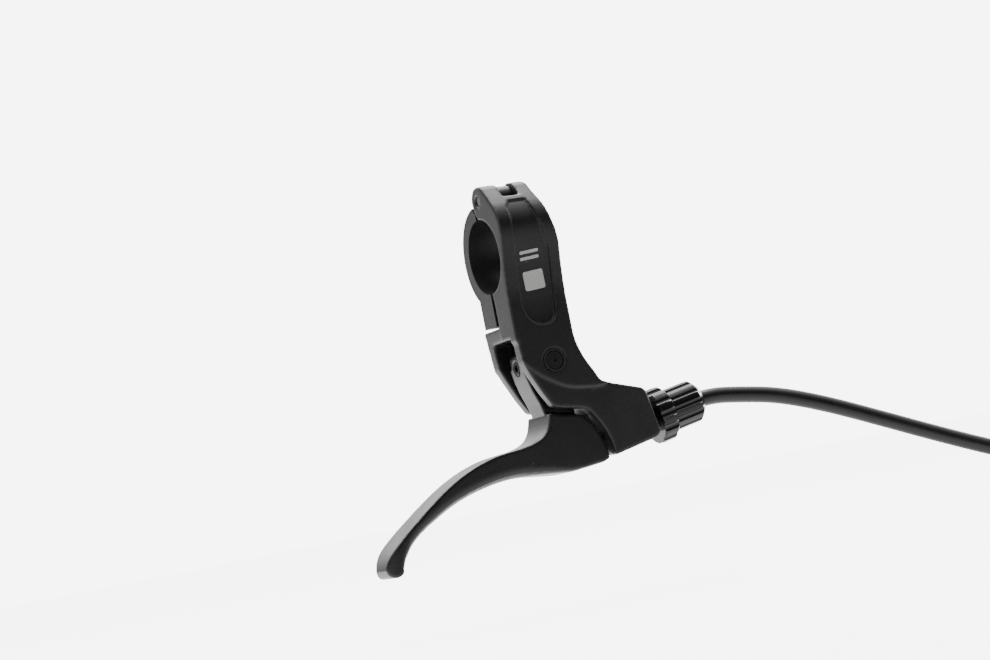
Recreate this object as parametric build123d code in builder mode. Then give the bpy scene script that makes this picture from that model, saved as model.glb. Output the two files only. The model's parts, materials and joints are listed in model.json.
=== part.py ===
"""Bicycle brake lever for a 22.2 mm handlebar: hinged clamp, forged lever, barrel adjuster and cable.

Frame: origin on the axis of the clamp bore, behind the badge, +X along the handlebar towards its middle, +Z up,
-Y the front face of the bracket. All lengths are millimetres.
"""

from build123d import *
import math
import os

# ---- driving dimensions -------------------------------------------------------------------------
BAR_R = 11.1  # 22.2 mm handlebar
BAND_LEFT, BAND_RIGHT = -7.8, 10.8  # sides of the clamp along the bar
BAND_WIDE = BAND_RIGHT - BAND_LEFT
BAND_R = 15.2  # outside of the rear clamp band
SPLIT = 0.6  # half of the pinch gap

HINGE_Y, HINGE_Z = -2.5, 16.2  # clamp hinge pin, along X
HINGE_PIN_R = 1.5
KNUCKLE_HALF = 2.4  # middle knuckle, on the rear band
KNUCKLE_R = 3.7
HINGE_R = 4.3  # outside of the bracket's hinge lugs
HINGE_HALF = 7.2  # half of the hinge pin's length

BOLT_Z = -16.2  # clamp bolt, along Y
BOLT_R = 2.5
BOLT_HEAD_R, BOLT_HEAD_H = 4.25, 5.0
BOLT_TIP_Y = -8.0
LUG_Y = 9.5  # rear face of the band's bolt lug
WASHER_R, WASHER_T = 4.8, 0.8
BAND_HOLE_R = 3.3  # clearance for the bolt while the band swings

BODY_HALF = 11.0  # half thickness of the lower bracket
PAD_HALF = 11.5  # half thickness above the step line
EAR_IN = 7.0  # inner faces of the two pivot ears

PIVOT_X, PIVOT_Z = 3.0, -34.0  # lever pivot, along Y
PIN_R = 2.8
BUSH_R = 3.5
BUSH_FLANGE_R, BUSH_FLANGE_T = 5.0, 0.8
RUN = 0.03  # running clearance on a radius
HUB_R, HUB_HALF = 6.4, 5.6
THRUST_T = 0.5

TILT = math.radians(10.5)  # adjuster axis above +X
BOSS_X, BOSS_Z = 33.2, -55.9  # where the adjuster axis meets the boss end face
SHANK_R = 4.0
SHANK_IN = 8.0  # thread engaged in the boss
RING_GAP = 2.4  # from the boss to the lock ring
RING_R, RING_T, RING_FLUTES = 8.3, 5.1, 12
KNOB_R, KNOB_L, KNOB_FLUTES = 6.5, 11.4, 12
FERRULE_R, FERRULE_L = 2.95, 6.6
WIRE_R = 0.8

NIPPLE_X, NIPPLE_Z = 6.2, -60.9  # barrel nipple in the lever block
NIPPLE_R, NIPPLE_HALF = 3.2, 3.0

HOUSING_R = 2.5
HOUSING_ROUTE = [  # from the ferrule in the adjuster to the top of the coil
    (55.2, 0, -51.8), (67, -0.7, -53.3), (79, -2.8, -55.7), (92.5, -7.6, -61.4), (107.5, -14, -69.4),
    (122, -20.8, -77.4), (137, -28.2, -85.3), (150, -34, -90.2), (162, -37.6, -92.2), (172, -38.6, -92.5),
]
COIL_X, COIL_Y, COIL_R = 184.0, -11.0, 25.0  # centre and mean radius of the put-away turns
COIL_FLOOR = -105.0
COIL_WIDE, COIL_HIGH = 4 * HOUSING_R, 6 * HOUSING_R  # two turns side by side, three layers
TAIL_ANGLE = math.radians(-45)  # where the housing leaves the coil, about +Z from +X
STUB_L = 26.0
END_FERRULE_R, END_FERRULE_AT, END_FERRULE_L = 2.9, 19.4, 10.0
TAIL_WIRE_AT, TAIL_WIRE_L = 25.5, 25.0
WIRE_PULL = 13.2  # how far the wire runs through the housing over the whole swing
CRIMP_R, CRIMP_L = 1.3, 6.0

FLARE = [(BAND_RIGHT, -24.6), (11, -29), (12.1, -33), (13.6, -36.4), (15.4, -39.7), (18.4, -42.8)]
FLARE_WAY = ((0, -1), (0.96, -0.26))  # the bracket's side below the clamp, out to the boss

ax, az = math.cos(TILT), math.sin(TILT)


def along(distance):
    """A point on the adjuster axis, counted outwards from the boss end face."""
    return (BOSS_X + ax * distance, 0, BOSS_Z + az * distance)


def axis_plane(distance):
    """A sketch plane square to the adjuster axis, facing outwards."""
    return Plane(origin=along(distance), x_dir=(0, 1, 0), z_dir=(ax, 0, az))


def tail_plane(distance):
    """A sketch plane square to the cable's straight end, counted from where it leaves the outer turn."""
    out = COIL_R + HOUSING_R
    way = Vector(-math.sin(TAIL_ANGLE), math.cos(TAIL_ANGLE), 0)
    side = Vector(math.cos(TAIL_ANGLE), math.sin(TAIL_ANGLE), 0)
    start = Vector(COIL_X, COIL_Y, COIL_FLOOR + END_FERRULE_R) + side * out
    return Plane(origin=start + way * distance, z_dir=way)


def pocket_floor(raised):
    """The curve of the pocket's floor across the bar, raised towards the front by a given amount."""
    low = [(-10.5, -24), (-10.5, -15), (-11.2, -8.5), (-12.5, -2)]
    high = [(-13.9, 3), (-14.3, 7.5), (-12.9, 11.6), (-9.6, 15.6)]
    return Spline(*[(y - raised, z) for y, z in low + high])


def floor_layer(thickness):
    """A sketch, square to the bar, of the layer that lies on the pocket's floor."""
    with BuildSketch(Plane.YZ) as layer:
        with BuildLine():
            under = pocket_floor(0)
            over = pocket_floor(thickness)
            Line(under @ 0, over @ 0)
            Line(under @ 1, over @ 1)
        make_face()
    return layer.sketch


os.makedirs("parts", exist_ok=True)
finished = []


def finish(name, item):
    item.part.label = name
    export_step(item.part, f"parts/{name}.step")
    finished.append(name)


# ---- bracket ------------------------------------------------------------------------------------
# the badge pocket: its outline seen from the front, and its floor, which follows the face's curve
with BuildPart() as pocket:
    with BuildSketch(Plane.XZ):
        with BuildLine():
            edge = Polyline((-3.6, -16.1), (-3.6, 12.4), (-2, 14.3), (3.5, 14.3), (4.9, 7.7), (7.1, -1.2),
                            (7, -12.3), (6.4, -19))
            Spline(edge @ 1, (3.8, -23.1), (1.1, -23.1), (-1.6, -21.6), (-3.2, -18.9), edge @ 0)
        make_face()
    extrude(amount=20)
    with BuildSketch(Plane.YZ):
        with BuildLine():
            floor = pocket_floor(0)
            Polyline(floor @ 1, (-20, 15.6), (-20, -24), floor @ 0)
        make_face()
    extrude(amount=12, both=True, mode=Mode.INTERSECT)

# what the clamp's inboard side leaves free as it narrows towards the hinge
with BuildPart() as shoulder:
    with BuildSketch(Plane.XZ):
        with BuildLine():
            slope = Spline((BAND_RIGHT, -4), (10.6, 0.5), (9, 7.4), (7.8, 13.4), (7, 22),
                           tangents=((0, 1), (0, 1)))
            Polyline(slope @ 1, (14, 22), (14, -4), slope @ 0)
        make_face()
    extrude(amount=20, both=True)

with BuildPart() as bracket:
    # front half of the clamp, a profile across the bar drawn out along it
    with BuildSketch(Plane.YZ.offset(BAND_LEFT)):
        with BuildLine():
            face = Spline((-PAD_HALF, -15), (-12.2, -8.5), (-13.5, -2), (-14.9, 3), (-15.3, 7.5),
                          (-13.9, 11.6), (-10.6, 15.6), tangents=((-0.02, 1), (0.66, 0.75)))
            nose = Line(face @ 1, (-7.4, 19.0))
            top = Spline(nose @ 1, (-5.2, 20.2), (HINGE_Y, HINGE_Z + HINGE_R), tangents=((0.7, 0.7), (1, 0)))
            crown = CenterArc((HINGE_Y, HINGE_Z), HINGE_R, 90, -90)
            Polyline(crown @ 1, (1.2, 13.4), (-SPLIT, 11.5), (-SPLIT, -27), (-PAD_HALF, -27), face @ 0)
        make_face()
    extrude(amount=BAND_WIDE)
    # lower body, seen from the front: pivot ears and adjuster boss
    with BuildSketch(Plane.XZ):
        with BuildLine():
            side = Polyline((BAND_LEFT, -21.4), (BAND_RIGHT, -21.4), FLARE[0])
            flare = Spline(*FLARE, tangents=FLARE_WAY)
            boss = Polyline(flare @ 1, (30, -46.1), (31.2, -47.1), (33.8, -60.1), (32.2, -61.4), (17, -64.4))
            mouth = Spline(boss @ 1, (16.1, -59.5), (14.6, -55.6), (12.2, -51.6), (8.4, -49),
                           tangents=((-0.12, 1), (-1, 0.16)))
            Polyline(mouth @ 1, (2.6, -48), (0.2, -47.3), (-2.5, -42.7), (-5, -37.5), (-6.9, -33.2), side @ 0)
        make_face()
    extrude(amount=BODY_HALF, both=True)
    # raised pad above the step line
    with BuildSketch(Plane.XZ):
        with BuildLine():
            pad = Polyline((-6.9, -33.2), (BAND_LEFT, -21.4), (BAND_RIGHT, -21.4), FLARE[0])
            rim = Spline(*FLARE, tangents=FLARE_WAY)
            Spline(rim @ 1, (15.6, -43.4), (12.2, -43.2), (8.3, -42.7), (4.5, -41.6), (0.9, -39.6), (-2.3, -37.5),
                   (-5, -35.1), pad @ 0)
        make_face()
    extrude(amount=PAD_HALF, both=True)
    # the boss narrows towards its end face
    with BuildSketch(Plane.XY.offset(-75)):
        with BuildLine():
            Polyline((19, -BODY_HALF), (36, -8.9), (36, -14), (19, -14), close=True)
        make_face()
        mirror(about=Plane.XZ)
    extrude(amount=40, mode=Mode.SUBTRACT)
    # bar bore, hinge notch and hinge pin hole
    with BuildSketch(Plane.YZ):
        Circle(BAR_R)
    extrude(amount=20, both=True, mode=Mode.SUBTRACT)
    with BuildSketch(Plane.YZ):
        with BuildLine():
            Polyline((-14, 16.4), (-10.6, 16.4), (-5.9, 12.9), (-3.4, 12.2), (0, 11.3), (4, 11), (4, 24),
                     (-14, 24), close=True)
        make_face()
    extrude(amount=KNUCKLE_HALF + 0.15, both=True, mode=Mode.SUBTRACT)
    with BuildSketch(Plane.YZ):
        with Locations((HINGE_Y, HINGE_Z)):
            Circle(HINGE_PIN_R)
    extrude(amount=20, both=True, mode=Mode.SUBTRACT)
    # room for the lever between the ears
    with BuildSketch(Plane.XZ):
        with BuildLine():
            Polyline((-14, -25.8), (5.6, -25.8), (9.7, -30), (9.7, -41), (12.2, -50.2), (18, -66), (-14, -66),
                     close=True)
        make_face()
    extrude(amount=EAR_IN, both=True, mode=Mode.SUBTRACT)
    # pivot holes, clamp bolt thread, adjuster thread and the wire's way through the boss
    with BuildSketch(Plane.XZ):
        with Locations((PIVOT_X, PIVOT_Z)):
            Circle(BUSH_R)
    extrude(amount=14, both=True, mode=Mode.SUBTRACT)
    with BuildSketch(Plane.XZ):
        with Locations((0, BOLT_Z)):
            Circle(BOLT_R + RUN)
    extrude(amount=-BOLT_TIP_Y + 0.6, mode=Mode.SUBTRACT)
    with BuildSketch(axis_plane(1)):
        Circle(SHANK_R + RUN)
    extrude(amount=-SHANK_IN - 2, mode=Mode.SUBTRACT)
    with BuildSketch(axis_plane(0)):
        Circle(2.2)
    extrude(amount=-26, mode=Mode.SUBTRACT)
    add(pocket.part, mode=Mode.SUBTRACT)
    add(shoulder.part, mode=Mode.SUBTRACT)
finish("bracket", bracket)

# ---- rear clamp band, its hinge pin and its bolt ------------------------------------------------
with BuildPart() as band:
    with BuildSketch(Plane.YZ.offset(BAND_LEFT)):
        Circle(BAND_R)
        with BuildLine():
            Polyline((SPLIT, -10), (SPLIT, -20.6), (LUG_Y, -20.6), (LUG_Y, -9), close=True)
        make_face()
        with Locations((-10 + SPLIT, 0)):
            Rectangle(20, 60, mode=Mode.SUBTRACT)
        with Locations((HINGE_Y, HINGE_Z)):
            Circle(HINGE_R + 0.4, mode=Mode.SUBTRACT)
    extrude(amount=BAND_WIDE)
    with BuildSketch(Plane.YZ):
        with Locations((HINGE_Y, HINGE_Z)):
            Circle(KNUCKLE_R)
        with BuildLine():
            Polyline((-4.4, 13.2), (-0.6, 19.4), (7.8, 13.0), (5.9, 9.9), close=True)
        make_face()
    extrude(amount=KNUCKLE_HALF, both=True)
    with BuildSketch(Plane.YZ):
        Circle(BAR_R)
        with Locations((HINGE_Y, HINGE_Z)):
            Circle(HINGE_PIN_R + RUN)
    extrude(amount=20, both=True, mode=Mode.SUBTRACT)
    with BuildSketch(Plane.XZ):
        with Locations((0, BOLT_Z)):
            Circle(BAND_HOLE_R)
    extrude(amount=-20, mode=Mode.SUBTRACT)
    with BuildSketch(Plane.XZ.offset(-LUG_Y)):
        with Locations((0, BOLT_Z)):
            Circle(WASHER_R + 0.4)
    extrude(amount=-10, mode=Mode.SUBTRACT)
    add(shoulder.part, mode=Mode.SUBTRACT)
finish("clamp_band", band)

with BuildPart() as hinge_pin:
    with BuildSketch(Plane.YZ):
        with Locations((HINGE_Y, HINGE_Z)):
            Circle(HINGE_PIN_R)
    extrude(amount=HINGE_HALF, both=True)
    chamfer(hinge_pin.edges().filter_by(GeomType.CIRCLE), 0.25)
finish("clamp_hinge_pin", hinge_pin)

with BuildPart() as washer:
    with BuildSketch(Plane.XZ.offset(-LUG_Y - 0.02)):
        with Locations((0, BOLT_Z)):
            Circle(WASHER_R)
            Circle(BOLT_R + RUN, mode=Mode.SUBTRACT)
    extrude(amount=-WASHER_T)
finish("clamp_washer", washer)

HEAD_Y = LUG_Y + WASHER_T + 0.04
with BuildPart() as bolt:
    with BuildSketch(Plane.XZ.offset(-HEAD_Y)):
        with Locations((0, BOLT_Z)):
            Circle(BOLT_HEAD_R)
    extrude(amount=-BOLT_HEAD_H)
    chamfer(bolt.edges().filter_by(GeomType.CIRCLE).sort_by(Axis.Y)[-1], 0.5)
    with BuildSketch(Plane.XZ.offset(-HEAD_Y)):
        with Locations((0, BOLT_Z)):
            Circle(BOLT_R)
    extrude(amount=HEAD_Y - BOLT_TIP_Y)
    chamfer(bolt.edges().filter_by(GeomType.CIRCLE).sort_by(Axis.Y)[0], 0.5)
    with BuildSketch(Plane.XZ.offset(-HEAD_Y - BOLT_HEAD_H)):
        with Locations((0, BOLT_Z)):
            RegularPolygon(4 / math.sqrt(3), 6)
    extrude(amount=2.6, mode=Mode.SUBTRACT)
finish("clamp_bolt", bolt)

# ---- badge in the pocket: a plain plate and two raised stripes ----------------------------------
with BuildPart() as badge:
    with BuildSketch(Plane.XZ):
        with Locations(Location((1.5, -9.9), 4)):
            RectangleRounded(6.4, 5.6, 0.6)
    extrude(amount=20)
    extrude(floor_layer(0.3), amount=12, both=True, mode=Mode.INTERSECT)
finish("badge_plate", badge)

with BuildPart() as stripes:
    with BuildSketch(Plane.XZ):
        with Locations(Location((0.9, -3.4), 4), Location((0.9, -1.6), 4)):
            RectangleRounded(6.0, 0.9, 0.3)
    extrude(amount=20)
    extrude(floor_layer(0.2), amount=12, both=True, mode=Mode.INTERSECT)
finish("badge_stripes", stripes)

# ---- lever: one forging, arm between the ears, block for the nipple, finger blade ---------------
with BuildPart() as lever:
    # block and blade, seen from the front
    with BuildSketch(Plane.XZ):
        with BuildLine():
            upper = Spline((-0.4, -48.7), (-1.2, -51.6), (-3, -54.6), (-6.2, -56.4), (-18.1, -58.2),
                           (-25.7, -60.2), (-33.7, -63.8), (-41.8, -68.9), (-48.9, -74), (-53.4, -77.6),
                           (-56.4, -80.9), (-57.6, -83.6))
            tip = ThreePointArc(upper @ 1, (-55.4, -86.7), (-52.9, -84.9))
            lower = Spline(tip @ 1, (-51.2, -81.6), (-46.7, -77), (-39.8, -72.9), (-31.9, -69.2),
                           (-22.6, -66.6), (-13, -65.5), (-3.4, -66.1), (4, -66.8))
            Polyline(lower @ 1, (13.3, -65.8), (15.9, -64.9))
            nose = Spline((15.9, -64.9), (15.1, -60), (14, -56.9), (12.5, -54), (10.4, -51.6), (7.5, -50.3),
                          tangents=((0, 1), (-1, 0.25)))
            Polyline(nose @ 1, (3.5, -49.9), upper @ 0)
        make_face()
    extrude(amount=8.5, both=True)
    # seen from above: wide block, waisted blade, broad finger tip
    with BuildSketch(Plane.XY.offset(-100)):
        with BuildLine():
            waist = Spline((0.5, -8.5), (-4.5, -7.6), (-9, -6.3), (-20, -5.9), (-38, -6.2), (-53, -6.9),
                           tangents=((-1, 0), (-1, -0.04)))
            end = ThreePointArc(waist @ 1, (-57.3, -5), (-58.8, 0))
            Polyline(end @ 1, (18, 0), (18, -8.5), waist @ 0)
        make_face()
        mirror(about=Plane.XZ)
    extrude(amount=60, mode=Mode.INTERSECT)
    # arm up to the hub
    with BuildSketch(Plane.XZ):
        with BuildLine():
            Polyline((-3.6, -29.6), (-4.7, -30.8), (-4.7, -34), (-4.1, -37.4), (-2.9, -41.7), (-1.4, -45.6),
                     (-0.2, -50.6), (9.6, -52.6), (8.8, -46), (8.9, -36), (PIVOT_X, PIVOT_Z), close=True)
        make_face()
    extrude(amount=4.8, both=True)
    with BuildSketch(Plane.XZ):
        with Locations((PIVOT_X, PIVOT_Z)):
            Circle(HUB_R)
    extrude(amount=HUB_HALF, both=True)
    # pin bore, grub screw hole, spring recess, nipple seat and the slot that the wire swings in
    with BuildSketch(Plane.XZ):
        with Locations((PIVOT_X, PIVOT_Z)):
            Circle(PIN_R)
    extrude(amount=20, both=True, mode=Mode.SUBTRACT)
    with BuildSketch(Plane.XZ.offset(-HUB_HALF)):
        with Locations((PIVOT_X, PIVOT_Z)):
            Circle(5.3)
    extrude(amount=3.4, mode=Mode.SUBTRACT)
    with BuildSketch(Plane.XZ.offset(-HUB_HALF)):
        with Locations((PIVOT_X - 1, PIVOT_Z + 4.5)):
            Rectangle(14, 8.4)
    extrude(amount=1.9, mode=Mode.SUBTRACT)
    with BuildSketch(Plane.YZ.offset(-8)):
        with Locations((0, PIVOT_Z)):
            Circle(2.0)
    extrude(amount=11, mode=Mode.SUBTRACT)
    with BuildSketch(Plane.XZ.offset(NIPPLE_HALF + 0.1)):
        with Locations((NIPPLE_X, NIPPLE_Z)):
            Circle(NIPPLE_R + RUN)
    extrude(amount=-20, mode=Mode.SUBTRACT)
    with BuildSketch(Plane.XZ):
        with BuildLine():
            Polyline((NIPPLE_X, -62.2), (18, -60.2), (18, -45), (11, -48), (NIPPLE_X, -59.6), close=True)
        make_face()
    extrude(amount=1.2, both=True, mode=Mode.SUBTRACT)
finish("lever", lever)

# ---- pivot: pin, bushes, thrust washers, grub screw, return spring ------------------------------
with BuildPart() as pin:
    with BuildSketch(Plane.XZ):
        with Locations((PIVOT_X, PIVOT_Z)):
            Circle(PIN_R)
    extrude(amount=PAD_HALF - 0.1, both=True)
    chamfer(pin.edges().filter_by(GeomType.CIRCLE), 0.2)
    for side in (1, -1):
        with BuildSketch(Plane.XZ.offset(side * (PAD_HALF - 0.1))):
            with Locations((PIVOT_X, PIVOT_Z)):
                Circle(0.5)
        extrude(amount=-side * 0.4, mode=Mode.SUBTRACT)
finish("pivot_pin", pin)

with BuildPart() as bushes:
    for side in (1, -1):
        with BuildSketch(Plane.XZ.offset(side * PAD_HALF)):
            with Locations((PIVOT_X, PIVOT_Z)):
                Circle(BUSH_R)
        extrude(amount=-side * (PAD_HALF - EAR_IN + BUSH_FLANGE_T))
        with BuildSketch(Plane.XZ.offset(side * EAR_IN)):
            with Locations((PIVOT_X, PIVOT_Z)):
                Circle(BUSH_FLANGE_R)
        extrude(amount=-side * BUSH_FLANGE_T)
    with BuildSketch(Plane.XZ):
        with Locations((PIVOT_X, PIVOT_Z)):
            Circle(PIN_R + RUN)
    extrude(amount=20, both=True, mode=Mode.SUBTRACT)
finish("pivot_bushes", bushes)

with BuildPart() as thrust:
    for side in (1, -1):
        with BuildSketch(Plane.XZ.offset(side * (HUB_HALF + 0.05))):
            with Locations((PIVOT_X, PIVOT_Z)):
                Circle(BUSH_FLANGE_R)
                Circle(PIN_R + RUN, mode=Mode.SUBTRACT)
        extrude(amount=side * THRUST_T)
finish("thrust_washers", thrust)

with BuildPart() as grub:
    with BuildSketch(Plane.YZ.offset(-4.6)):
        with Locations((0, PIVOT_Z)):
            Circle(2.0)
    extrude(amount=4.7)
    chamfer(grub.edges().filter_by(GeomType.CIRCLE), 0.3)
    with BuildSketch(Plane.YZ.offset(-4.6)):
        with Locations((0, PIVOT_Z)):
            RegularPolygon(2 / math.sqrt(3), 6)
    extrude(amount=2.2, mode=Mode.SUBTRACT)
finish("pin_grub_screw", grub)

# close-wound torsion spring in the hub's recess, with the leg that bears on the bracket
SPRING_R, SPRING_WIRE_R, SPRING_TURNS = 4.3, 0.5, 3
SPRING_Y, SPRING_PITCH = 2.8, 0.96  # first turn, and turn to turn
with BuildPart() as spring:
    for turn in range(SPRING_TURNS):
        with BuildSketch(Plane(origin=(PIVOT_X, SPRING_Y + turn * SPRING_PITCH, PIVOT_Z), z_dir=(0, 0, 1))):
            with Locations((SPRING_R, 0)):
                Circle(SPRING_WIRE_R)
        revolve(axis=Axis((PIVOT_X, 0, PIVOT_Z), (0, 1, 0)))
    with BuildSketch(Plane.XY.offset(PIVOT_Z)):
        with Locations((PIVOT_X - SPRING_R, SPRING_Y + (SPRING_TURNS - 1) * SPRING_PITCH + 0.1)):
            Circle(SPRING_WIRE_R)
    extrude(amount=8.1)
finish("return_spring", spring)

# ---- adjuster: lock ring, barrel, cable ferrule -------------------------------------------------
with BuildPart() as ring:
    with BuildSketch(axis_plane(RING_GAP)):
        Circle(RING_R)
        Circle(SHANK_R + RUN, mode=Mode.SUBTRACT)
    extrude(amount=RING_T)
    chamfer(ring.edges().filter_by(GeomType.CIRCLE).sort_by(SortBy.LENGTH)[-2:], 0.5)
    with BuildSketch(axis_plane(RING_GAP - 1)):
        with PolarLocations(RING_R + 0.75, RING_FLUTES):
            Circle(1.5)
    extrude(amount=RING_T + 2, mode=Mode.SUBTRACT)
finish("lock_ring", ring)

KNOB_AT = RING_GAP + RING_T + 0.1
KNOB_END = KNOB_AT + KNOB_L
with BuildPart() as barrel:
    with BuildSketch(axis_plane(KNOB_AT)):
        Circle(KNOB_R)
    extrude(amount=KNOB_L)
    chamfer(barrel.edges().filter_by(GeomType.CIRCLE).sort_by(Axis((0, 0, 0), (ax, 0, az)))[-1], 1.6)
    chamfer(barrel.edges().filter_by(GeomType.CIRCLE).sort_by(Axis((0, 0, 0), (ax, 0, az)))[0], 0.5)
    with BuildSketch(axis_plane(KNOB_AT - 1)):
        with PolarLocations(KNOB_R + 0.55, KNOB_FLUTES):
            Circle(1.15)
    extrude(amount=KNOB_L + 2, mode=Mode.SUBTRACT)
    with BuildSketch(axis_plane(-SHANK_IN)):
        Circle(SHANK_R)
    extrude(amount=SHANK_IN + KNOB_AT)
    with BuildSketch(axis_plane(-SHANK_IN - 1)):
        Circle(1.6)
    extrude(amount=40, mode=Mode.SUBTRACT)
    with BuildSketch(axis_plane(KNOB_END + 1)):
        Circle(FERRULE_R + RUN)
    extrude(amount=-FERRULE_L - 1, mode=Mode.SUBTRACT)
    chamfer(barrel.edges().filter_by(GeomType.CIRCLE).sort_by(Axis((0, 0, 0), (ax, 0, az)))[-1], 0.5)
finish("barrel_adjuster", barrel)

FERRULE_AT = KNOB_END - FERRULE_L + 0.02
HOUSING_AT = FERRULE_AT + 1.2
with BuildPart() as ferrule:
    with BuildSketch(axis_plane(FERRULE_AT)):
        Circle(FERRULE_R)
    extrude(amount=5.2)
    with BuildSketch(axis_plane(FERRULE_AT - 1)):
        Circle(1.2)
    extrude(amount=10, mode=Mode.SUBTRACT)
    with BuildSketch(axis_plane(HOUSING_AT)):
        Circle(HOUSING_R + 0.02)
    extrude(amount=10, mode=Mode.SUBTRACT)
finish("lever_ferrule", ferrule)

# ---- inner wire and its barrel nipple -----------------------------------------------------------
with BuildPart() as nipple:
    with BuildSketch(Plane.XZ):
        with Locations((NIPPLE_X, NIPPLE_Z)):
            Circle(NIPPLE_R)
    extrude(amount=NIPPLE_HALF, both=True)
    chamfer(nipple.edges().filter_by(GeomType.CIRCLE), 0.3)
finish("cable_nipple", nipple)

wire_start = NIPPLE_R + 0.02
wire_way = Vector(*along(-20)) - Vector(NIPPLE_X, 0, NIPPLE_Z)
wire_plane = Plane(origin=Vector(NIPPLE_X, 0, NIPPLE_Z) + wire_way.normalized() * wire_start, z_dir=wire_way)
with BuildPart() as wire:
    with BuildSketch(wire_plane):
        Circle(WIRE_R)
    extrude(amount=(Vector(*along(HOUSING_AT - 0.05)) - wire_plane.origin).length)
finish("inner_wire", wire)

# ---- cable: housing, its put-away coil and the brake end ----------------------------------------
housing_points = [Vector(*along(HOUSING_AT))] + [Vector(*point) for point in HOUSING_ROUTE]
runs = [b - a for a, b in zip(housing_points, housing_points[1:])]
radii = [
    0.45 * min(run.length, after.length) / math.tan(math.radians(run.get_angle(after)) / 2)
    for run, after in zip(runs, runs[1:])
]
print("cord radii, in diameters:", [round(radius / (2 * HOUSING_R), 1) for radius in radii])
with BuildPart() as housing:
    with BuildLine() as route:
        FilletPolyline(*housing_points, radius=radii)
    with BuildSketch(Plane(origin=route.wire() @ 0, z_dir=route.wire() % 0)):
        Circle(HOUSING_R)
    sweep(path=route.wire())
print("housing tube", round(route.wire().length, 1), "mm; volume over section times length:",
      round(housing.part.volume / (math.pi * HOUSING_R**2 * route.wire().length), 4))
finish("cable_housing", housing)

TIE_T, TIE_WIDE, TIE_PLAY = 0.8, 4.6, 0.25  # strap thickness, width, and its room beside the turns
COIL_CENTRE = (COIL_X, COIL_Y, COIL_FLOOR + COIL_HIGH / 2)
with BuildPart() as tie:
    with BuildSketch(Plane(origin=COIL_CENTRE, x_dir=(0, 1, 0), z_dir=(1, 0, 0))):
        with Locations((COIL_R, 0)):
            RectangleRounded(COIL_WIDE + 2 * (TIE_T + TIE_PLAY), COIL_HIGH, HOUSING_R + TIE_T)
            RectangleRounded(COIL_WIDE + 2 * TIE_PLAY, COIL_HIGH - 2 * TIE_T, HOUSING_R, mode=Mode.SUBTRACT)
    extrude(amount=TIE_WIDE / 2, both=True)
finish("coil_tie", tie)

with BuildPart() as coil:
    with BuildSketch(Plane(origin=COIL_CENTRE, x_dir=(1, 0, 0), z_dir=(0, -1, 0))):
        with Locations((COIL_R, 0)):
            RectangleRounded(COIL_WIDE, COIL_HIGH, HOUSING_R - 0.1)
    revolve(axis=Axis((COIL_X, COIL_Y, 0), (0, 0, 1)))
    with BuildSketch(tail_plane(0)):
        Circle(HOUSING_R)
    extrude(amount=STUB_L)
    with BuildSketch(tail_plane(STUB_L)):
        Circle(WIRE_R + 0.05)
    extrude(amount=TAIL_WIRE_AT - WIRE_PULL - 0.4 - STUB_L, mode=Mode.SUBTRACT)
    add(tie.part, mode=Mode.SUBTRACT)
finish("cable_coil", coil)


with BuildPart() as end_ferrule:
    with BuildSketch(tail_plane(END_FERRULE_AT)):
        Circle(END_FERRULE_R)
    extrude(amount=END_FERRULE_L)
    chamfer(end_ferrule.edges().filter_by(GeomType.CIRCLE), 0.2)
    with BuildSketch(tail_plane(STUB_L + 0.02)):
        Circle(HOUSING_R + 0.02)
    extrude(amount=-STUB_L, mode=Mode.SUBTRACT)
    with BuildSketch(tail_plane(STUB_L - 1)):
        Circle(1.0)
    extrude(amount=10, mode=Mode.SUBTRACT)
finish("brake_end_ferrule", end_ferrule)

with BuildPart() as end_wire:
    with BuildSketch(tail_plane(TAIL_WIRE_AT)):
        Circle(WIRE_R)
    extrude(amount=TAIL_WIRE_L - 0.4)
finish("brake_end_wire", end_wire)

with BuildPart() as crimp:
    with BuildSketch(tail_plane(TAIL_WIRE_AT + TAIL_WIRE_L - CRIMP_L)):
        Circle(CRIMP_R)
    extrude(amount=CRIMP_L)
    chamfer(crimp.edges().filter_by(GeomType.CIRCLE), 0.3)
    with BuildSketch(tail_plane(TAIL_WIRE_AT + TAIL_WIRE_L - CRIMP_L)):
        Circle(WIRE_R)
    extrude(amount=CRIMP_L - 0.4, mode=Mode.SUBTRACT)
finish("wire_end_crimp", crimp)
print(len(finished), "nodes")
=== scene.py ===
import json
import math

import bmesh
import bpy
from mathutils import Matrix, Vector
from mathutils.kdtree import KDTree

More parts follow.
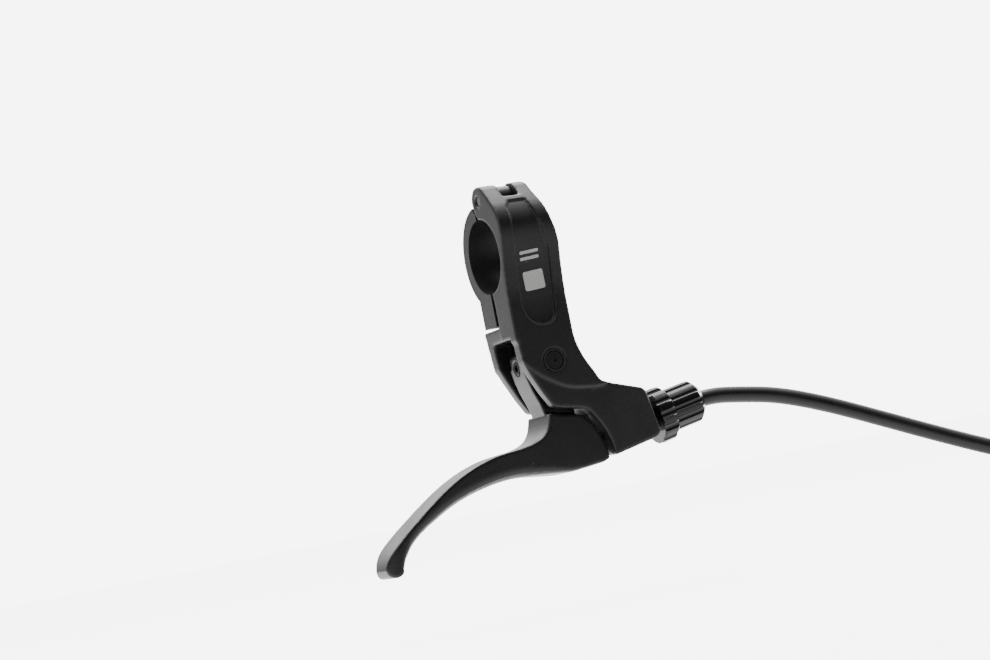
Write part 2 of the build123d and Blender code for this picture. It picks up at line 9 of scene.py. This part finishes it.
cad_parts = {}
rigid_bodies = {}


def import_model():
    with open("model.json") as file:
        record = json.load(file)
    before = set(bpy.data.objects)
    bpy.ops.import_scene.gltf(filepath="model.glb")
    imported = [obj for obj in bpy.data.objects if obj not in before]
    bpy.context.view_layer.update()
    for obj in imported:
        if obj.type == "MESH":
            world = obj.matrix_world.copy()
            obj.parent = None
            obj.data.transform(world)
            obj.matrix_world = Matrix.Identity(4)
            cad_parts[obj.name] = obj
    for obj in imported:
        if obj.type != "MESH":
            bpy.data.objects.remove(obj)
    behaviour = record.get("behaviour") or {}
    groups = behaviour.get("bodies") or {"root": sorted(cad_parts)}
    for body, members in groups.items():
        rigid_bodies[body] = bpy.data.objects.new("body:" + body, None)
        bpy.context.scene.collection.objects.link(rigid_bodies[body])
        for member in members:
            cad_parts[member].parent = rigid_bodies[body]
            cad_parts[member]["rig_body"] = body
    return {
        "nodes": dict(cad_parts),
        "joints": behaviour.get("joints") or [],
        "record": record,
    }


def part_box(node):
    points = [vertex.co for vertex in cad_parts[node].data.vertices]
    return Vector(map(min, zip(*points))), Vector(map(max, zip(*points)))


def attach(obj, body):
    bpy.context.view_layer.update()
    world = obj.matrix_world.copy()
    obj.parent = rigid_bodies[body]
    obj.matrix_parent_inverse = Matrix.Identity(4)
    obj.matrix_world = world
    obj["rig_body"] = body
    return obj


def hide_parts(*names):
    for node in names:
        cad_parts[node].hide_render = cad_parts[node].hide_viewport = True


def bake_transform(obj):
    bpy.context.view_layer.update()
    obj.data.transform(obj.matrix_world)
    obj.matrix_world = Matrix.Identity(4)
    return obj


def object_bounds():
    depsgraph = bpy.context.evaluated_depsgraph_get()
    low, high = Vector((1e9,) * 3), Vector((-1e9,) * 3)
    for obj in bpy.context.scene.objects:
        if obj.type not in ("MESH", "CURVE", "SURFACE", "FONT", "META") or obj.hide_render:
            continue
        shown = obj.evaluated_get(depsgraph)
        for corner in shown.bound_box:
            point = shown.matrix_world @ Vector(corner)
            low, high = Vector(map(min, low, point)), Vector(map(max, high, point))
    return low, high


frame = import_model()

CAD_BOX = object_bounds()
nodes = frame["nodes"]
MM = 0.001  # Blender's lengths are in metres; what is written in millimetres is multiplied by this


def placed(name, data):
    """A new object in the scene, made of a mesh, curve, camera or light."""
    item = bpy.data.objects.new(name, data)
    bpy.context.scene.collection.objects.link(item)
    return item


def smooth(mesh):
    """Shades every face of a mesh smoothly."""
    for face in mesh.polygons:
        face.use_smooth = True


# ---- camera -------------------------------------------------------------------------------------
CAMERA_AT = (-0.27484, -0.61404, -0.07009)
CAMERA_RIGHT = (0.90588512, -0.37722193, -0.1925507)
CAMERA_UP = (0.14897713, -0.14177007, 0.97862509)
CAMERA_FORWARD = (0.39645677, 0.91520755, 0.07222996)
camera_data = bpy.data.cameras.new("camera")
camera_data.lens, camera_data.sensor_width = 83.1, 36.0
camera_data.clip_start, camera_data.clip_end = 0.01, 20
camera = placed("camera", camera_data)
turn = Matrix((CAMERA_RIGHT, CAMERA_UP, [-c for c in CAMERA_FORWARD])).transposed()
camera.matrix_world = Matrix.Translation(CAMERA_AT) @ turn.to_4x4()
bpy.context.scene.camera = camera

# ---- axes, from the joints that slide or turn on them --------------------------------------------
joints = {joint["name"]: joint for joint in frame["joints"]}
ADJUST_AXIS = Vector(joints["adjuster_travel"]["axis"]).normalized()
BOSS_END = Vector(joints["adjuster_turn"]["pos_m"])
PIVOT = Vector(joints["lever_pivot"]["pos_m"])
TAIL_AXIS = -Vector(joints["wire_pull"]["axis"]).normalized()


def along(distance):
    """A point on the adjuster's axis, in millimetres from the boss's end face."""
    return BOSS_END + ADJUST_AXIS * distance * MM


# ---- cable housing ------------------------------------------------------------------------------
HOUSING_D = 0.005
HOUSING_FROM = 13.62  # millimetres from the boss's end face to the housing's end inside the ferrule
# from the ferrule down to the coil's top layer, in millimetres
ROUTE = [
    (55.2, 0, -51.8), (67, -0.7, -53.3), (79, -2.8, -55.7), (92.5, -7.6, -61.4), (107.5, -14, -69.4),
    (122, -20.8, -77.4), (137, -28.2, -85.3), (150, -34, -90.2), (162, -37.6, -92.2), (172, -38.6, -92.5),
]
COIL_AT = Vector((0.184, -0.011, 0))
COIL_R = 0.025  # to the middle of its two rows of turns
COIL_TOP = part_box("cable_coil")[1].z
LAYER_Z = [COIL_TOP - HOUSING_D * (0.5 + layer) for layer in range(3)]
INNER, OUTER = COIL_R - HOUSING_D / 2, COIL_R + HOUSING_D / 2
# radius and height of each lane, in the order in which the housing winds through them
LANES = [
    (OUTER, LAYER_Z[0]), (INNER, LAYER_Z[0]), (INNER, LAYER_Z[1]), (OUTER, LAYER_Z[1]), (INNER, LAYER_Z[2]),
    (OUTER, LAYER_Z[2]),
]
LANE_TURN = 300  # degrees from the start of one lane to the start of the next
CHANGE_TURN = 60  # degrees over which the housing eases into its next lane
COIL_STEP = 15  # degrees from one point of the coil to the next
COIL_TURNS = 5
COIL_FROM, TAIL_ANGLE = -90, -45  # where round the coil, in degrees, the housing comes in and leaves
COIL_END = 360 * COIL_TURNS + TAIL_ANGLE - COIL_FROM
TAIL_POINTS = (0, 9, 18, 26)  # millimetres along the straight end, into the brake's ferrule


def coil_point(angle):
    """The housing's centre at an angle, in degrees, after it reaches the coil."""
    lane = min(len(LANES) - 1, angle // LANE_TURN)
    radius, z = LANES[lane]
    if lane > 0:
        part = min(1.0, (angle - LANE_TURN * lane) / CHANGE_TURN)
        ease = part * part * (3 - 2 * part)
        last_radius, last_z = LANES[lane - 1]
        radius = last_radius + (radius - last_radius) * ease
        z = last_z + (z - last_z) * ease
    round_coil = math.radians(COIL_FROM + angle)
    return COIL_AT + Vector((radius * math.cos(round_coil), radius * math.sin(round_coil), z))


def curve_object(name, points, radius, order=3, resolution=12):
    """A round cord along one open NURBS spline."""
    data = bpy.data.curves.new(name, "CURVE")
    data.dimensions = "3D"
    # the points carry the radius and the bevel is 1, because Blender takes the curve's box from its points
    data.bevel_depth, data.bevel_resolution, data.resolution_u = 1, 6, resolution
    data.use_fill_caps = True
    spline = data.splines.new("NURBS")
    spline.points.add(len(points) - 1)
    for point, place in zip(spline.points, points):
        point.co = (*place, 1)
        point.radius = radius
    spline.order_u = order
    spline.use_endpoint_u = True
    return placed(name, data)


HOUSING_POINTS = [along(HOUSING_FROM)] + [Vector(p) * MM for p in ROUTE]
HOUSING_POINTS += [coil_point(angle) for angle in range(0, COIL_END, COIL_STEP)]
HOUSING_POINTS += [coil_point(COIL_END) + TAIL_AXIS * distance * MM for distance in TAIL_POINTS]
housing = curve_object("brake_cable_housing", HOUSING_POINTS, HOUSING_D / 2)
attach(housing, "cable")
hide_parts("cable_housing", "cable_coil")

# ---- materials ----------------------------------------------------------------------------------
PATCH_SCALE, PATCH_DETAIL = 90, 4  # of the broad patches in which the roughness varies
PATCH_RANGE = (0.3, 0.7)  # the patches' noise stays within this
GRAIN_DETAIL = 3
GRAIN_DARK, GRAIN_LIGHT = 0.8, 1.25  # how far the grain goes below and above the colour
LEAST_ROUGHNESS = 0.02
DUST_SCALE = 260  # cells to a metre, some of which hold a speck of dust at their centre
DUST_EDGE = (0.05, 0.025)  # distances from the cell's centre, in cells, over which a speck fades in
DUST_CHOICE = (0.9, 0.97)  # only cells with a random number over these hold a speck
DUST_COLOUR = (0.25, 0.25, 0.24, 1)
PEEL_DEPTH = 0.0002


def map_range(tree, value, start, end, to_start=0.0, to_end=1.0):
    """A node that turns a value's range, from start to end, into another."""
    made = tree.nodes.new("ShaderNodeMapRange")
    made.inputs["From Min"].default_value, made.inputs["From Max"].default_value = start, end
    made.inputs["To Min"].default_value, made.inputs["To Max"].default_value = to_start, to_end
    tree.links.new(value, made.inputs["Value"])
    return made


def product(tree, first, second):
    """The socket of two others multiplied."""
    made = tree.nodes.new("ShaderNodeMath")
    made.operation = "MULTIPLY"
    tree.links.new(first, made.inputs[0])
    tree.links.new(second, made.inputs[1])
    return made.outputs["Value"]


def noise(tree, place, scale, detail):
    """The socket of a noise that stays with the object."""
    made = tree.nodes.new("ShaderNodeTexNoise")
    made.inputs["Scale"].default_value, made.inputs["Detail"].default_value = scale, detail
    tree.links.new(place.outputs["Object"], made.inputs["Vector"])
    return made.outputs["Fac"]


def dust_specks(tree, place):
    """The socket that is 1 in a speck of dust and 0 beside it."""
    cells = tree.nodes.new("ShaderNodeTexVoronoi")
    cells.inputs["Scale"].default_value = DUST_SCALE
    tree.links.new(place.outputs["Object"], cells.inputs["Vector"])
    near = map_range(tree, cells.outputs["Distance"], *DUST_EDGE)
    number = tree.nodes.new("ShaderNodeSeparateColor")
    tree.links.new(cells.outputs["Color"], number.inputs["Color"])
    chosen = map_range(tree, number.outputs["Red"], *DUST_CHOICE)
    return product(tree, near.outputs["Result"], chosen.outputs["Result"])


def material(name, colour, roughness, metallic=0.0, spread=0.05, grain=1500.0, bump=0.02):
    """A finish with grain in its colour, patches in its roughness, a slight orange peel and a little dust."""
    made = bpy.data.materials.new(name)
    made.use_nodes = True
    tree = made.node_tree
    shader = tree.nodes["Principled BSDF"]
    shader.inputs["Metallic"].default_value = metallic
    place = tree.nodes.new("ShaderNodeTexCoord")
    fine = noise(tree, place, grain, GRAIN_DETAIL)
    patches = noise(tree, place, PATCH_SCALE, PATCH_DETAIL)
    least = max(LEAST_ROUGHNESS, roughness - spread)
    dullness = map_range(tree, patches, *PATCH_RANGE, least, roughness + spread)
    tree.links.new(dullness.outputs["Result"], shader.inputs["Roughness"])
    tint = tree.nodes.new("ShaderNodeMix")
    tint.data_type = "RGBA"
    tint.inputs["A"].default_value = (*[c * GRAIN_DARK for c in colour], 1)
    tint.inputs["B"].default_value = (*[min(1, c * GRAIN_LIGHT) for c in colour], 1)
    tree.links.new(fine, tint.inputs["Factor"])
    dusty = tree.nodes.new("ShaderNodeMix")
    dusty.data_type = "RGBA"
    dusty.inputs["B"].default_value = DUST_COLOUR
    tree.links.new(dust_specks(tree, place), dusty.inputs["Factor"])
    tree.links.new(tint.outputs["Result"], dusty.inputs["A"])
    tree.links.new(dusty.outputs["Result"], shader.inputs["Base Color"])
    peel = tree.nodes.new("ShaderNodeBump")
    peel.inputs["Strength"].default_value = bump
    peel.inputs["Distance"].default_value = PEEL_DEPTH
    tree.links.new(fine, peel.inputs["Height"])
    tree.links.new(peel.outputs["Normal"], shader.inputs["Normal"])
    return made


FINISHES = {
    "forged_black": material("forged_black", (0.011, 0.011, 0.011), 0.36, bump=0.12),
    "lever_black": material("lever_black", (0.010, 0.010, 0.010), 0.30, bump=0.08),
    "ring_black": material("ring_black", (0.007, 0.007, 0.0075), 0.16, bump=0.03),
    "adjuster_black": material("adjuster_black", (0.007, 0.007, 0.0075), 0.14, bump=0.03),
    "bolt_black": material("bolt_black", (0.02, 0.02, 0.021), 0.32, metallic=0.8, bump=0.05),
    "pin_black": material("pin_black", (0.014, 0.014, 0.014), 0.34, metallic=0.3, bump=0.1),
    "bush_black": material("bush_black", (0.02, 0.02, 0.021), 0.3, bump=0.05),
    "pin_steel": material("pin_steel", (0.35, 0.35, 0.36), 0.28, metallic=1.0, bump=0.06),
    "spring_steel": material("spring_steel", (0.4, 0.4, 0.42), 0.24, metallic=1.0, bump=0.05),
    "wire_steel": material("wire_steel", (0.5, 0.5, 0.52), 0.26, metallic=1.0, bump=0.05),
    "crimp_alloy": material("crimp_alloy", (0.6, 0.6, 0.62), 0.35, metallic=1.0, bump=0.08),
    "badge": material("badge", (0.5, 0.5, 0.49), 0.4, bump=0.05),
    "ferrule_black": material("ferrule_black", (0.015, 0.015, 0.016), 0.3, bump=0.05),
    "housing_black": material("housing_black", (0.011, 0.011, 0.012), 0.3, bump=0.05, grain=700),
    "tie_black": material("tie_black", (0.014, 0.014, 0.014), 0.38, bump=0.06),
}
SLOT_OF = {entry["node"]: entry["material_slot"] for entry in frame["record"]["subparts"]}


def paint(item, slot):
    """Gives a piece the finish of a material slot."""
    item.data.materials.clear()
    item.data.materials.append(FINISHES[slot])


for node_name, node in nodes.items():
    paint(node, SLOT_OF[node_name])
    smooth(node.data)
paint(housing, "housing_black")

# ---- forged parts: the CAD shape with worn-in, rounded edges --------------------------------------
SMOOTHING = 0.5  # how far one round moves a point towards the middle of its neighbours


def applied(item):
    """Turns a piece and its modifiers into a mesh of its own."""
    graph = bpy.context.evaluated_depsgraph_get()
    mesh = bpy.data.meshes.new_from_object(item.evaluated_get(graph))
    item.modifiers.clear()
    item.data = mesh


def forge(name, node_name, voxel, rounds, outer_rounds, crisp, shape=None):
    """One closed mesh in place of a CAD node, with edges rounded as a tumbled forging's are.

    shape, if given, changes the mesh first. Then all of it is smoothed by the rounds, and by the outer rounds
    where crisp, which is given a point in millimetres, says that no crisp detail is there.
    """
    builder = bmesh.new()
    builder.from_mesh(nodes[node_name].data)
    mesh = bpy.data.meshes.new(name)
    builder.to_mesh(mesh)
    builder.free()
    item = placed(name, mesh)
    remesh = item.modifiers.new("remesh", "REMESH")
    remesh.mode, remesh.voxel_size, remesh.adaptivity = "VOXEL", voxel, 0
    applied(item)
    if shape:
        shape(item.data)
    outer = item.vertex_groups.new(name="outer_edges")
    outer.add([v.index for v in item.data.vertices if not crisp(v.co / MM)], 1, "ADD")
    soften = item.modifiers.new("soften", "SMOOTH")
    soften.factor, soften.iterations = SMOOTHING, rounds
    tumble = item.modifiers.new("tumble", "SMOOTH")
    tumble.factor, tumble.iterations, tumble.vertex_group = SMOOTHING, outer_rounds, "outer_edges"
    applied(item)
    smooth(item.data)
    paint(item, SLOT_OF[node_name])
    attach(item, nodes[node_name]["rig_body"])
    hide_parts(node_name)


def between(table, at):
    """The table's value at a place, in a straight line from one entry to the next."""
    for (a, low), (b, high) in zip(table, table[1:]):
        if at <= b:
            return low + (high - low) * max(0, (at - a) / (b - a))
    return table[-1][1]


def flowing(points, steps=12):
    """A smooth line through all the points."""
    line = []
    for index in range(len(points) - 1):
        p0, p1 = points[max(0, index - 1)], points[index]
        p2, p3 = points[index + 1], points[min(len(points) - 1, index + 2)]
        for step in range(steps):
            t = step / steps
            line.append(0.5 * (2 * p1 + (p2 - p0) * t + (2 * p0 - 5 * p1 + 4 * p2 - p3) * t * t
                               + (3 * p1 - p0 - 3 * p2 + p3) * t * t * t))
    return line + [points[-1]]


# the blade's finger side, from its tip to the block, in millimetres seen from the front
FINGER_EDGE = [(-52.9, -84.9), (-51.2, -81.6), (-46.7, -77), (-39.8, -72.9), (-31.9, -69.2), (-22.6, -66.6),
               (-13, -65.5), (-3.4, -66.1), (4, -66.8), (13.3, -65.8)]
# radius of its long edges against the distance along the bar, in millimetres
FINGER_ROUNDS = [(-54, 0.9), (-49, 2.4), (-40, 2.8), (-12, 2.8), (8, 0.8)]
EDGES_BELOW = -0.052  # the finger side's two edges are lower than this, in metres


def finger_edges(mesh):
    """Rounds the two long edges of the blade on the finger side."""
    guide = flowing([Vector((x, 0, z)) * MM for x, z in FINGER_EDGE])
    tree = KDTree(len(guide))
    for index, place in enumerate(guide):
        tree.insert(place, index)
    tree.balance()
    low = [v.co for v in mesh.vertices if v.co.z < EDGES_BELOW]
    width = {}
    for place in low:
        at = round(place.x / MM)
        width[at] = max(width.get(at, 0), abs(place.y))
    half = [(at, width[at] / MM) for at in sorted(width)]
    for place in low:
        x, y, z = place
        half_here = between(half, x / MM) * MM
        radius = between(FINGER_ROUNDS, x / MM) * MM
        foot, index, depth = tree.find(Vector((x, 0, z)))
        side = half_here - abs(y)
        if index in (0, len(guide) - 1) or depth >= radius or side >= radius:
            continue
        across, down = radius - max(0, side), radius - depth
        shrink = max(across, down) / math.hypot(across, down)
        along_edge = guide[index + 1] - guide[index - 1]
        up = Vector((-along_edge.z, 0, along_edge.x)).normalized()
        place.xyz = foot + up * (radius - down * shrink)
        place.y = math.copysign(half_here - radius + across * shrink, y)


# what stays crisp on the bracket, in millimetres
BORE_REACH, PIVOT_REACH = 12.5, 5.6  # radii that take in the rims of the bar's bore and the pin's holes
FRONT = -8  # the front face's details are in front of this
HINGE_NOTCH_HALF, HINGE_NOTCH_LOW = 5, 10
POCKET_LEFT, POCKET_RIGHT, POCKET_LOW, POCKET_HIGH = -4.6, 8, -24.5, 15.6
POCKET_LEAN_FROM, POCKET_LEAN = 7.6, 0.17  # its right side leans in above the bar's centre
STEP_LINE = flowing([Vector((x, 0, z)) for x, z in (
    (-6.9, -33.2), (-5, -35.1), (-2.3, -37.5), (0.9, -39.6), (4.5, -41.6), (8.3, -42.7), (12.2, -43.2),
    (18.4, -42.8))])
STEP_MARKS = STEP_LINE[::6]  # points along the step line, near enough together to measure from
STEP_REACH = 1.1


def bracket_detail(place):
    """Whether a point is by the bore or the pivot, at the hinge notch, in the pocket, or on the step line."""
    x, y, z = place
    if math.hypot(y, z) < BORE_REACH or math.hypot(x - PIVOT.x / MM, z - PIVOT.z / MM) < PIVOT_REACH:
        return True
    if y > FRONT:
        return abs(x) < HINGE_NOTCH_HALF and z > HINGE_NOTCH_LOW
    pocket_right = POCKET_RIGHT if z < 0 else POCKET_LEAN_FROM - POCKET_LEAN * z
    if POCKET_LEFT < x < pocket_right and POCKET_LOW < z < POCKET_HIGH:
        return True
    return min(math.hypot(x - p.x, z - p.z) for p in STEP_MARKS) < STEP_REACH


# what stays crisp on the lever, in millimetres
ARM_LOW = -47  # the hub and the arm are above this
NIPPLE_X, NIPPLE_Z = 6.2, -60.9
NIPPLE_REACH, NIPPLE_HALF = 4.4, 7.5  # radius and half length that take in the rims of the nipple's seat


def lever_detail(place):
    """Whether a point is on the lever's hub or arm, or by the nipple's seat."""
    by_seat = math.hypot(place.x - NIPPLE_X, place.z - NIPPLE_Z) < NIPPLE_REACH and abs(place.y) < NIPPLE_HALF
    return place.z > ARM_LOW or by_seat


forge("forged_bracket", "bracket", voxel=0.00032, rounds=3, outer_rounds=20, crisp=bracket_detail)
forge("forged_lever", "lever", voxel=0.0003, rounds=6, outer_rounds=8, crisp=lever_detail, shape=finger_edges)

# ---- inner wire: a straight wire from the nipple at one end to the boss at the other --------------
WIRE_R = 0.8  # millimetres
NIPPLE_AT = (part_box("cable_nipple")[0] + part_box("cable_nipple")[1]) / 2
WIRE_START = NIPPLE_AT + ADJUST_AXIS * 3.3 * MM  # just outside the nipple
WIRE_END = along(13.5)  # at the housing's end, inside the ferrule
WIRE_BENDS = 30
wire_line = [WIRE_START.lerp(WIRE_END, step / WIRE_BENDS) for step in range(WIRE_BENDS + 1)]
strand = curve_object("strand", wire_line, WIRE_R * MM, order=2, resolution=1)
wire = placed("pull_wire", bpy.data.meshes.new_from_object(strand))
bpy.data.objects.remove(strand)
smooth(wire.data)
paint(wire, "wire_steel")
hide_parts("inner_wire")
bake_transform(wire)

# ---- floor --------------------------------------------------------------------------------------
PAPER = 7.0  # how bright the white studio looks to the camera
FLOOR_SIZE = 6
FLOOR_SEEN = 0.85  # the floor's brightness to the camera, as a part of PAPER
GLOW_ACROSS = (-0.12, 0.1)  # from in front of the object to behind it, along Y
GLOW = (0.05, 2.2)  # the floor's glow on the object, at those two places


def add_floor():
    """A pale sheet under the object. What lights the object is its part behind; its front part is dull."""
    builder = bmesh.new()
    bmesh.ops.create_grid(builder, x_segments=1, y_segments=1, size=FLOOR_SIZE)
    mesh = bpy.data.meshes.new("floor")
    builder.to_mesh(mesh)
    builder.free()
    item = placed("floor", mesh)
    item.location = (0, 0, CAD_BOX[0][2])
    made = bpy.data.materials.new("floor")
    made.use_nodes = True
    tree = made.node_tree
    shader = tree.nodes["Principled BSDF"]
    shader.inputs["Base Color"].default_value = (0.3, 0.3, 0.3, 1)
    shader.inputs["Roughness"].default_value = 0.9
    shader.inputs["Emission Color"].default_value = (1, 1, 1, 1)
    place = tree.nodes.new("ShaderNodeTexCoord")
    split = tree.nodes.new("ShaderNodeSeparateXYZ")
    tree.links.new(place.outputs["Object"], split.inputs["Vector"])
    glow = map_range(tree, split.outputs["Y"], *GLOW_ACROSS, *GLOW)
    path = tree.nodes.new("ShaderNodeLightPath")
    choose = tree.nodes.new("ShaderNodeMix")
    choose.inputs["B"].default_value = PAPER * FLOOR_SEEN
    tree.links.new(path.outputs["Is Camera Ray"], choose.inputs["Factor"])
    tree.links.new(glow.outputs["Result"], choose.inputs["A"])
    tree.links.new(choose.outputs["Result"], shader.inputs["Emission Strength"])
    mesh.materials.append(made)


add_floor()

# ---- lights -------------------------------------------------------------------------------------


def softbox(name, at, aim, size, power):
    """A rectangular studio light at a place, turned to face a point."""
    data = bpy.data.lights.new(name, "AREA")
    data.shape, data.size, data.size_y, data.energy = "RECTANGLE", size[0], size[1], power
    item = placed(name, data)
    item.location = at
    item.rotation_euler = (Vector(aim) - Vector(at)).to_track_quat("-Z", "Y").to_euler()


softbox("overhead", (0.05, 0.35, 0.9), (0.02, 0, -0.04), (0.9, 0.7), 16)
softbox("right_back", (0.95, 0.45, 0.08), (0.02, 0, -0.03), (0.5, 0.9), 9)

# ---- the studio round it: white to the camera, but it lights the object mostly from behind ---------
BRIGHT_SIDE = (-0.22, 0.95, 0.22)  # behind the object, and a little up
BRIGHT_ACROSS = (-0.8, 0.2)  # from away from that side towards it
BRIGHT = (0.03, 2.6)  # the studio's light at those two
DARK_SIDE = (-0.9, 0.3, -0.3)  # to the left stands something dark, as a grip would
DARK_ACROSS = (0.25, 0.62)  # from the rest of the studio towards that side
DARK = (1.0, 0.15)  # what part of the light is left at those two


def towards(tree, coords, side):
    """The socket that says how far a direction in the studio points to a side."""
    made = tree.nodes.new("ShaderNodeVectorMath")
    made.operation = "DOT_PRODUCT"
    made.inputs[1].default_value = side
    tree.links.new(coords.outputs["Generated"], made.inputs[0])
    return made.outputs["Value"]


def add_studio():
    """The world's light."""
    world = bpy.data.worlds.new("studio")
    bpy.context.scene.world = world
    world.use_nodes = True
    tree = world.node_tree
    tree.nodes.clear()
    coords = tree.nodes.new("ShaderNodeTexCoord")
    bright = map_range(tree, towards(tree, coords, BRIGHT_SIDE), *BRIGHT_ACROSS, *BRIGHT)
    bright.interpolation_type = "SMOOTHSTEP"
    dark = map_range(tree, towards(tree, coords, DARK_SIDE), *DARK_ACROSS, *DARK)
    lit = tree.nodes.new("ShaderNodeBackground")
    tree.links.new(product(tree, bright.outputs["Result"], dark.outputs["Result"]), lit.inputs["Strength"])
    seen = tree.nodes.new("ShaderNodeBackground")
    seen.inputs["Color"].default_value = (1, 1, 1, 1)
    seen.inputs["Strength"].default_value = PAPER
    path = tree.nodes.new("ShaderNodeLightPath")
    mix = tree.nodes.new("ShaderNodeMixShader")
    out = tree.nodes.new("ShaderNodeOutputWorld")
    tree.links.new(path.outputs["Is Camera Ray"], mix.inputs["Fac"])
    tree.links.new(lit.outputs["Background"], mix.inputs[1])
    tree.links.new(seen.outputs["Background"], mix.inputs[2])
    tree.links.new(mix.outputs["Shader"], out.inputs["Surface"])


add_studio()

bpy.context.view_layer.update()
